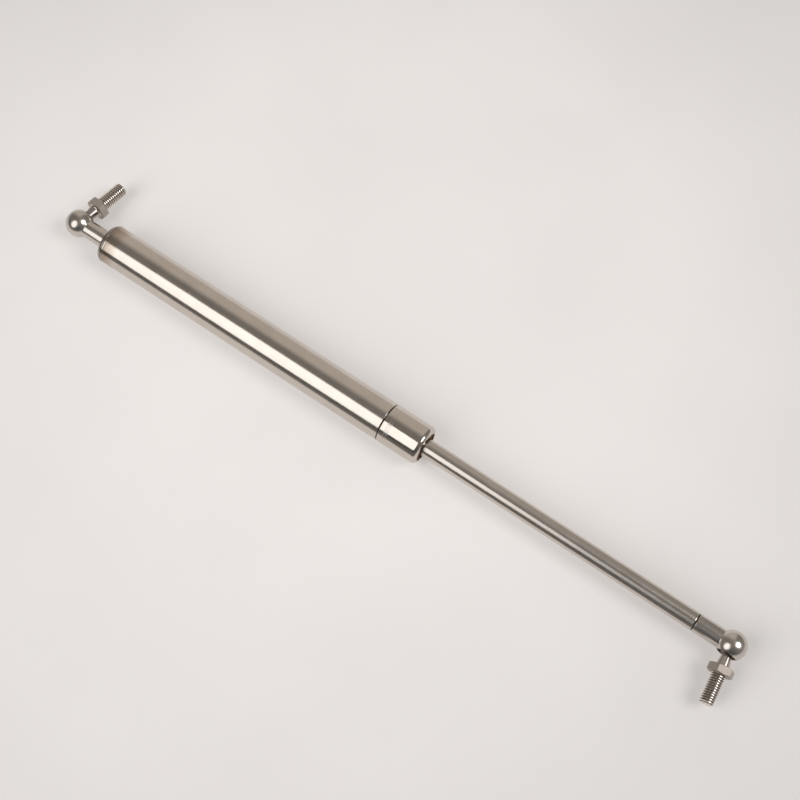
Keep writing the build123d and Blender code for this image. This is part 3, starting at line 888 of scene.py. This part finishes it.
def neck_profile():
    """Section of ball and neck, ending inside the hexagon."""
    neck_start = sqrt(BALL_RADIUS ** 2 - NECK_START_RADIUS ** 2)
    ball_end = Vector((-1, 0)).angle(Vector((neck_start, NECK_START_RADIUS)))
    points = []
    for step in range(STUD_BALL_STEPS):
        angle = ball_end * step / STUD_BALL_STEPS
        points.append(Vector((-cos(angle), sin(angle))) * BALL_RADIUS)
    collar_radius = NECK_END_RADIUS + COLLAR_WIDTH
    points += rounded([
        (neck_start, NECK_START_RADIUS, 0.0), (HEX_START, NECK_END_RADIUS, NECK_FILLET),
        (HEX_START, collar_radius, 0.0), (HEX_START + COLLAR_DEPTH, collar_radius, 0.0),
        (HEX_START + COLLAR_DEPTH, 0.0, 0.0)], closed=False)
    return points


def add_hexagon(bm, place):
    """Adds the hexagon with both faces' corners turned off to a cone."""
    flat = HEX_ACROSS_FLATS / 2
    face_radius = flat / cos(pi / 6) - HEX_CORNER_CUT
    count = 6 * HEX_EDGE_STEPS
    far = HEX_START + HEX_THICKNESS
    rings = {name: [] for name in ("near_face", "near_edge", "far_edge", "far_face")}
    for step in range(count):
        angle = tau * step / count
        reach = flat / cos((angle + pi / 6) % (pi / 3) - pi / 6)
        drop = max(0.0, reach - face_radius) * HEX_CONE_SLOPE + HEX_EDGE_BREAK
        edge = min(reach, face_radius) - 2 * HEX_EDGE_BREAK
        for name, radius, along in (
                ("near_face", edge, HEX_START), ("near_edge", reach, HEX_START + drop),
                ("far_edge", reach, far - drop), ("far_face", edge, far)):
            spot = Vector((along, radius * cos(angle), radius * sin(angle)))
            rings[name].append(bm.verts.new(place @ (spot * MM)))
    uv = bm.loops.layers.uv.verify()
    order = list(rings.values())
    for low, high in zip(order, order[1:]):
        for step in range(count):
            after = (step + 1) % count
            face = bm.faces.new((low[step], low[after], high[after], high[step]))
            for loop, (turn, along) in zip(face.loops, ((step, 0), (step + 1, 0), (step + 1, 1), (step, 1))):
                loop[uv].uv = (turn / count * tau * flat * MM, along * HEX_THICKNESS * MM)
    for name in ("near_face", "far_face"):
        bm.faces.new(rings[name])
    return bm


THREAD_START = HEX_START + HEX_THICKNESS
THREAD_SIZES = {
    "Crest Radius": THREAD_RADIUS * MM, "Pitch": THREAD_PITCH * MM, "Start": THREAD_START * MM,
    "End": (THREAD_START + THREAD_LENGTH) * MM, "Tip Chamfer": TIP_CHAMFER * MM}


def thread_tree():
    """Geometry nodes that roll a thread: a grid wrapped on a screw line, with cut-back ends."""
    tree = bpy.data.node_groups.new("rolled_thread", "GeometryNodeTree")
    for name, value in THREAD_SIZES.items():
        entry = tree.interface.new_socket(name=name, in_out="INPUT", socket_type="NodeSocketFloat")
        entry.default_value = value
    tree.interface.new_socket(name="Finish", in_out="INPUT", socket_type="NodeSocketMaterial")
    tree.interface.new_socket(name="Geometry", in_out="OUTPUT", socket_type="NodeSocketGeometry")
    given = add_node(tree, "NodeGroupInput")
    result = add_node(tree, "NodeGroupOutput")

    def sum_of(kind, first, second=0.0, third=0.0):
        """Output of one piece of arithmetic."""
        return add_node(tree, "ShaderNodeMath", {
            "Value": first, "Value_001": second, "Value_002": third}, operation=kind).outputs[0]

    crest, pitch = given.outputs["Crest Radius"], given.outputs["Pitch"]
    start, end = given.outputs["Start"], given.outputs["End"]
    turns = sum_of("ADD", sum_of("CEIL", sum_of("DIVIDE", sum_of("SUBTRACT", end, start), pitch)), 2.0)
    rows = sum_of("ADD", sum_of("MULTIPLY", turns, THREAD_TURN_STEPS), 1.0)
    columns = THREAD_TOOTH_STEPS + 1
    grid = add_node(tree, "GeometryNodeMeshGrid", {
        "Size X": 1.0, "Size Y": 1.0, "Vertices X": rows, "Vertices Y": columns})
    index = add_node(tree, "GeometryNodeInputIndex").outputs[0]
    row = sum_of("FLOOR", sum_of("DIVIDE", sum_of("ADD", index, 0.5), columns))
    column = sum_of("SUBTRACT", index, sum_of("MULTIPLY", row, columns))
    turn = sum_of("DIVIDE", row, THREAD_TURN_STEPS)
    phase = sum_of("DIVIDE", column, THREAD_TOOTH_STEPS)

    # One tooth: a flat crest, straight flanks and a flat root, from 0 at the crest to 1 at the root.
    from_crest = sum_of("MULTIPLY", sum_of("ABSOLUTE", sum_of("SUBTRACT", phase, 0.5)), 2.0)
    flank = add_node(tree, "ShaderNodeMapRange", {
        "Value": from_crest, "From Min": CREST_SHARE, "From Max": 1 - ROOT_SHARE,
        "To Min": 0.0, "To Max": 1.0}).outputs[0]
    depth = sum_of("MULTIPLY", pitch, DEPTH_SHARE)
    radius = sum_of("SUBTRACT", crest, sum_of("MULTIPLY", flank, depth))
    along = sum_of("ADD", sum_of("SUBTRACT", start, pitch), sum_of(
        "MULTIPLY", sum_of("ADD", turn, phase), pitch))
    held = add_node(tree, "ShaderNodeClamp", {"Value": along, "Min": start, "Max": end}).outputs[0]

    # The tip's chamfer: no further out than its end radius plus the distance from the end.
    tip_radius = sum_of("SUBTRACT", crest, given.outputs["Tip Chamfer"])
    cut = sum_of("MINIMUM", radius, sum_of("ADD", tip_radius, sum_of("SUBTRACT", end, held)))
    angle = sum_of("MULTIPLY", turn, tau)
    place = add_node(tree, "ShaderNodeCombineXYZ", {
        "X": held, "Y": sum_of("MULTIPLY", cut, sum_of("COSINE", angle)),
        "Z": sum_of("MULTIPLY", cut, sum_of("SINE", angle))})
    marked = add_node(tree, "GeometryNodeStoreNamedAttribute", {
        "Geometry": grid.outputs["Mesh"], "Name": "root", "Value": flank}, data_type="FLOAT", domain="POINT")
    rolled = add_node(tree, "GeometryNodeSetPosition", {
        "Geometry": marked.outputs["Geometry"], "Position": place.outputs[0]})

    # The flat end face.
    cap = add_node(tree, "GeometryNodeMeshCircle", {
        "Vertices": THREAD_TURN_STEPS, "Radius": tip_radius}, fill_type="NGON")
    cap_place = add_node(tree, "ShaderNodeCombineXYZ", {"X": end})
    cap_moved = add_node(tree, "GeometryNodeTransform", {
        "Geometry": cap.outputs["Mesh"], "Translation": cap_place.outputs[0], "Rotation": (0, pi / 2, 0)})

    together = add_node(tree, "GeometryNodeJoinGeometry")
    for part in (rolled.outputs[0], cap_moved.outputs[0]):
        tree.links.new(part, together.inputs[0])
    merged = add_node(tree, "GeometryNodeMergeByDistance", {
        "Geometry": together.outputs[0], "Distance": THREAD_MERGE * MM})
    real = add_node(tree, "GeometryNodeRealizeInstances", {"Geometry": merged.outputs[0]})
    coloured = add_node(tree, "GeometryNodeSetMaterial", {
        "Geometry": real.outputs[0], "Material": given.outputs["Finish"]})
    tree.links.new(coloured.outputs[0], result.inputs[0])
    return tree


def thread_mesh(material):
    """Thread as a plain mesh, along X from the ball's centre."""
    holder = bpy.data.objects.new("thread_holder", bpy.data.meshes.new("thread_holder"))
    bpy.context.scene.collection.objects.link(holder)
    modifier = holder.modifiers.new("thread", "NODES")
    modifier.node_group = thread_tree()
    settings = THREAD_SIZES | {"Finish": material}
    for entry in modifier.node_group.interface.items_tree:
        if entry.in_out == "INPUT":
            modifier[entry.identifier] = settings[entry.name]
    graph = bpy.context.evaluated_depsgraph_get()
    mesh = bpy.data.meshes.new_from_object(holder.evaluated_get(graph))
    bpy.data.objects.remove(holder)
    return mesh


# The same stainless bar, left as it came off the mill: dull, with short cutter marks.
milled_stainless = polished_steel(
    "milled_stainless_steel", "#B4AAA1", "#CBC1B9", (0.58, 0.68), (0.0004, 0.004), 0.000004)


def rolled_thread_steel():
    """Rolled thread of the same steel: flanks pressed bright by the rollers, roots dark with oil and painted
    shade.
    """
    steel = new_material("rolled_thread_stainless_steel")
    root = add_node(steel, "ShaderNodeAttribute", attribute_name="root")
    place = add_node(steel, "ShaderNodeTexCoord")
    haze = add_node(steel, "ShaderNodeTexNoise", {
        "Vector": place.outputs["Object"], "Scale": 1 / 0.0006, "Detail": 3.0})
    oil_and_shade = add_node(steel, "ShaderNodeMath", {
        "Value": haze.outputs["Fac"], "Value_001": 0.3, "Value_002": root.outputs["Fac"]},
        operation="MULTIPLY_ADD")
    # Painted shade as well as oil: the tone darkens from the crest down into the root.
    tone = add_node(steel, "ShaderNodeValToRGB", {"Fac": oil_and_shade.outputs[0]}, stops=[
        (0.50, linear("#EAE4DE")), (0.88, linear("#CDC5BD")), (1.0, linear("#857C74"))])
    gloss = add_node(steel, "ShaderNodeMapRange", {
        "Value": oil_and_shade.outputs[0], "From Min": 0.35, "From Max": 1.1, "To Min": 0.13, "To Max": 0.5})
    join_shader(steel, add_node(steel, "ShaderNodeBsdfPrincipled", {
        "Base Color": tone.outputs["Color"], "Metallic": 1.0, "Roughness": gloss.outputs["Result"]}))
    return steel


rolled_stainless = rolled_thread_steel()
thread = thread_mesh(rolled_stainless)
for end, (place, body) in fittings.items():
    tilted = place @ Matrix.Rotation(STUD_TILTS[end], 4, "Y")
    stud_place = tilted @ Matrix.Rotation(HEX_TURNS[end], 4, "Z") @ X_TO_Z
    finished(
        turned(bmesh.new(), neck_profile(), place=stud_place, closed=False, steps=STUD_STEPS),
        end + "_ball_and_neck", polished_stainless, end + "_stud", "stud_steel", end + "_ball_stud")
    finished(
        add_hexagon(bmesh.new(), stud_place), end + "_hexagon", milled_stainless,
        end + "_stud", "stud_steel", end + "_ball_stud")
    bm = bmesh.new()
    bm.from_mesh(thread)
    bm.transform(stud_place)
    finished(bm, end + "_thread", rolled_stainless, end + "_stud", "stud_steel", end + "_ball_stud")


# ======================================================================================
# Table, light and camera
# Pale matt table in a grey room, with one large soft light on the near side, a small far one and a low
# glowing card beside the strut, which paints a dark reflection in the metal. The camera looks down from the
# rod's side.
# ======================================================================================

TABLE_HEIGHT = tube_low.z
TABLE_SIZE = 6.0
CAMERA_PLACE = Vector((0.36901, -0.22218, 0.71238))
CAMERA_TARGET = Vector((0.20546, 0.01413, 0.0))
CAMERA_LENS = 65.72
SENSOR_WIDTH = 36.0
SOFTBOX_PLACE = Vector((-0.23, -0.84, 0.80))
SOFTBOX_SIZE = (0.97, 1.30)
SOFTBOX_RADIANCE = 1.62
SOFTBOX_DIFFUSE = 3.4                        # the same box's further light, kept out of the mirror images
FAR_LIGHT_PLACE = Vector((1.71, 0.52, 1.88))
FAR_LIGHT_SIZE = (1.4, 1.4)
FAR_LIGHT_RADIANCE = 5.4
TABLE_GLOW = 0.315                           # the table's own light, which only camera and mirrors see
TABLE_LIT_CENTRE = Vector((0.16, 0.085))     # painted pool of light: the glow is brightest here, and fades over the radius
TABLE_LIT_RADIUS = 0.5
CARD_LINE = ((-0.14, -0.100), (0.20, -0.070), (0.26, -0.042), (0.402, -0.038))
CARD_TOP = 0.010
FAR_WALL_ACROSS = (0.15, 0.65)               # the paler wall's edge in the room, from none to full
FAR_WALL_LEFT = (0.06, -0.20)
SUBJECT = Vector((0.15, 0.0, 0.0))


def table_finish():
    """Matt painted board, pale and faintly mottled. Part of its paleness is a glow of its own that only the
    camera and mirrors see, so that its shadows stay as light as under a bright ceiling. The glow is a painted
    pool of light: brightest near the strut, darker towards the edges."""
    board = new_material("matt_pale_board")
    place = add_node(board, "ShaderNodeTexCoord")
    mottle = add_node(board, "ShaderNodeTexNoise", {
        "Vector": place.outputs["Object"], "Scale": 12.0, "Detail": 2.0})
    tone = add_node(board, "ShaderNodeValToRGB", {"Fac": mottle.outputs["Fac"]}, stops=[
        (0.3, linear("#BDB9B7")), (0.7, linear("#C1BDBB"))])
    from_centre = add_node(board, "ShaderNodeMapping", {
        "Vector": place.outputs["Object"], "Location": (*TABLE_LIT_CENTRE, TABLE_HEIGHT),
        "Scale": (TABLE_LIT_RADIUS, TABLE_LIT_RADIUS, 1.0)}, vector_type="TEXTURE")
    spread = add_node(board, "ShaderNodeTexGradient", {
        "Vector": from_centre.outputs["Vector"]}, gradient_type="SPHERICAL")
    # Painted pool of light: the glow fades from its centre outwards.
    painted_light_pool = add_node(board, "ShaderNodeValToRGB", {"Fac": spread.outputs["Fac"]}, stops=[
        (0.06, linear("#A3A3A4")), (0.70, linear("#FFFBF8"))])
    paint = add_node(board, "ShaderNodeBsdfPrincipled", {
        "Base Color": tone.outputs["Color"], "Roughness": 0.75, "Specular IOR Level": 0.2})
    glow = add_node(board, "ShaderNodeEmission", {"Color": painted_light_pool.outputs["Color"], "Strength": TABLE_GLOW})
    both = add_node(board, "ShaderNodeAddShader", {"Shader": paint.outputs[0], "Shader_001": glow.outputs[0]})
    ray = add_node(board, "ShaderNodeLightPath")
    mirrored = add_node(board, "ShaderNodeMath", {
        "Value": ray.outputs["Is Camera Ray"], "Value_001": ray.outputs["Is Glossy Ray"]},
        operation="MAXIMUM")
    seen = add_node(board, "ShaderNodeMath", {
        "Value": mirrored.outputs[0], "Value_001": ray.outputs["Is Transmission Ray"]}, operation="MAXIMUM")
    join_shader(board, add_node(board, "ShaderNodeMixShader", {
        "Fac": seen.outputs[0], "Shader": paint.outputs[0], "Shader_001": both.outputs[0]}))
    return board


def make_table():
    """Large square board under the strut."""
    bm = bmesh.new()
    half = TABLE_SIZE / 2
    corners = ((-half, -half), (half, -half), (half, half), (-half, half))
    bm.faces.new([bm.verts.new((*corner, TABLE_HEIGHT)) for corner in corners])
    as_object(bm, "table", table_finish(), solid=False)


def painted_dark_reflection_card():
    """Low grey card standing on the table along the strut's near side, glowing, which only mirrors see: a
    painted dark reflection that draws the dark line under their highlights."""
    card = new_material("painted_dark_reflection_card")
    # Painted dark reflection: the card glows a mid grey, and only mirrors see it.
    join_shader(card, add_node(card, "ShaderNodeEmission", {"Color": linear("#7A7672"), "Strength": 1.0}))
    bm = bmesh.new()
    feet = [bm.verts.new((*spot, TABLE_HEIGHT)) for spot in CARD_LINE]
    tops = [bm.verts.new((*spot, CARD_TOP)) for spot in CARD_LINE]
    for number in range(len(CARD_LINE) - 1):
        bm.faces.new((feet[number], feet[number + 1], tops[number + 1], tops[number]))
    stood = as_object(bm, "painted_dark_reflection_card", card, solid=False)
    for kind in ("camera", "diffuse", "shadow", "transmission"):
        setattr(stood, "visible_" + kind, False)


def soft_light(name, place, size, radiance, in_mirrors=True):
    """White oval soft light aimed at the strut; radiance 1 shows white in a perfect mirror."""
    lamp = bpy.data.lights.new(name, "AREA")
    lamp.shape = "ELLIPSE"
    lamp.size, lamp.size_y = size
    area = size[0] * size[1] * pi / 4
    lamp.energy = radiance * pi * area
    holder = bpy.data.objects.new(name, lamp)
    bpy.context.scene.collection.objects.link(holder)
    holder.location = place
    holder.rotation_mode = "QUATERNION"
    holder.rotation_quaternion = (SUBJECT - place).to_track_quat("-Z", "Y")
    holder.visible_glossy = in_mirrors


def room():
    """Dim grey room, a little darker on the near side, with a paler wall far left."""
    world = bpy.data.worlds.new("dim_room")
    world.use_nodes = True
    world.node_tree.nodes.clear()
    place = add_node(world, "ShaderNodeTexCoord")
    way = add_node(world, "ShaderNodeSeparateXYZ", {"Vector": place.outputs["Generated"]})
    across = add_node(world, "ShaderNodeMapRange", {
        "Value": way.outputs["Y"], "From Min": -1.0, "From Max": 1.0})
    walls = add_node(world, "ShaderNodeValToRGB", {"Fac": across.outputs["Result"]}, stops=[
        (0.0, linear("#575859")), (0.10, linear("#5C5D5E")), (0.35, linear("#85827E")),
        (1.0, linear("#8A8782"))])
    to_wall = add_node(world, "ShaderNodeMapRange", {
        "Value": way.outputs["Y"], "From Min": FAR_WALL_ACROSS[0], "From Max": FAR_WALL_ACROSS[1]},
        interpolation_type="SMOOTHSTEP")
    to_left = add_node(world, "ShaderNodeMapRange", {
        "Value": way.outputs["X"], "From Min": FAR_WALL_LEFT[0], "From Max": FAR_WALL_LEFT[1]},
        interpolation_type="SMOOTHSTEP")
    wall = add_node(world, "ShaderNodeMath", {
        "Value": to_wall.outputs["Result"], "Value_001": to_left.outputs["Result"]}, operation="MULTIPLY")
    light = add_node(world, "ShaderNodeMix", {
        "Factor_Float": wall.outputs[0], "A_Color": walls.outputs["Color"], "B_Color": linear("#CCC4BC")},
        data_type="RGBA")
    shade = add_node(world, "ShaderNodeBackground", {
        "Color": socket(light.outputs, "Result_Color"), "Strength": 1.0})
    output = add_node(world, "ShaderNodeOutputWorld")
    world.node_tree.links.new(shade.outputs[0], output.inputs["Surface"])
    bpy.context.scene.world = world


def make_camera():
    """Camera above the rod's side, looking down at the middle of the strut."""
    data = bpy.data.cameras.new("camera")
    data.sensor_width = SENSOR_WIDTH
    data.lens = CAMERA_LENS
    camera = bpy.data.objects.new("camera", data)
    bpy.context.scene.collection.objects.link(camera)
    camera.location = CAMERA_PLACE
    camera.rotation_mode = "QUATERNION"
    camera.rotation_quaternion = (CAMERA_TARGET - CAMERA_PLACE).to_track_quat("-Z", "Y")
    bpy.context.scene.camera = camera


make_table()
painted_dark_reflection_card()
soft_light("softbox", SOFTBOX_PLACE, SOFTBOX_SIZE, SOFTBOX_RADIANCE)
soft_light("softbox_body", SOFTBOX_PLACE, SOFTBOX_SIZE, SOFTBOX_DIFFUSE, in_mirrors=False)
soft_light("far_light", FAR_LIGHT_PLACE, FAR_LIGHT_SIZE, FAR_LIGHT_RADIANCE)
room()
make_camera()
bpy.context.scene.view_settings.view_transform = "Standard"

bpy.context.view_layer.update()
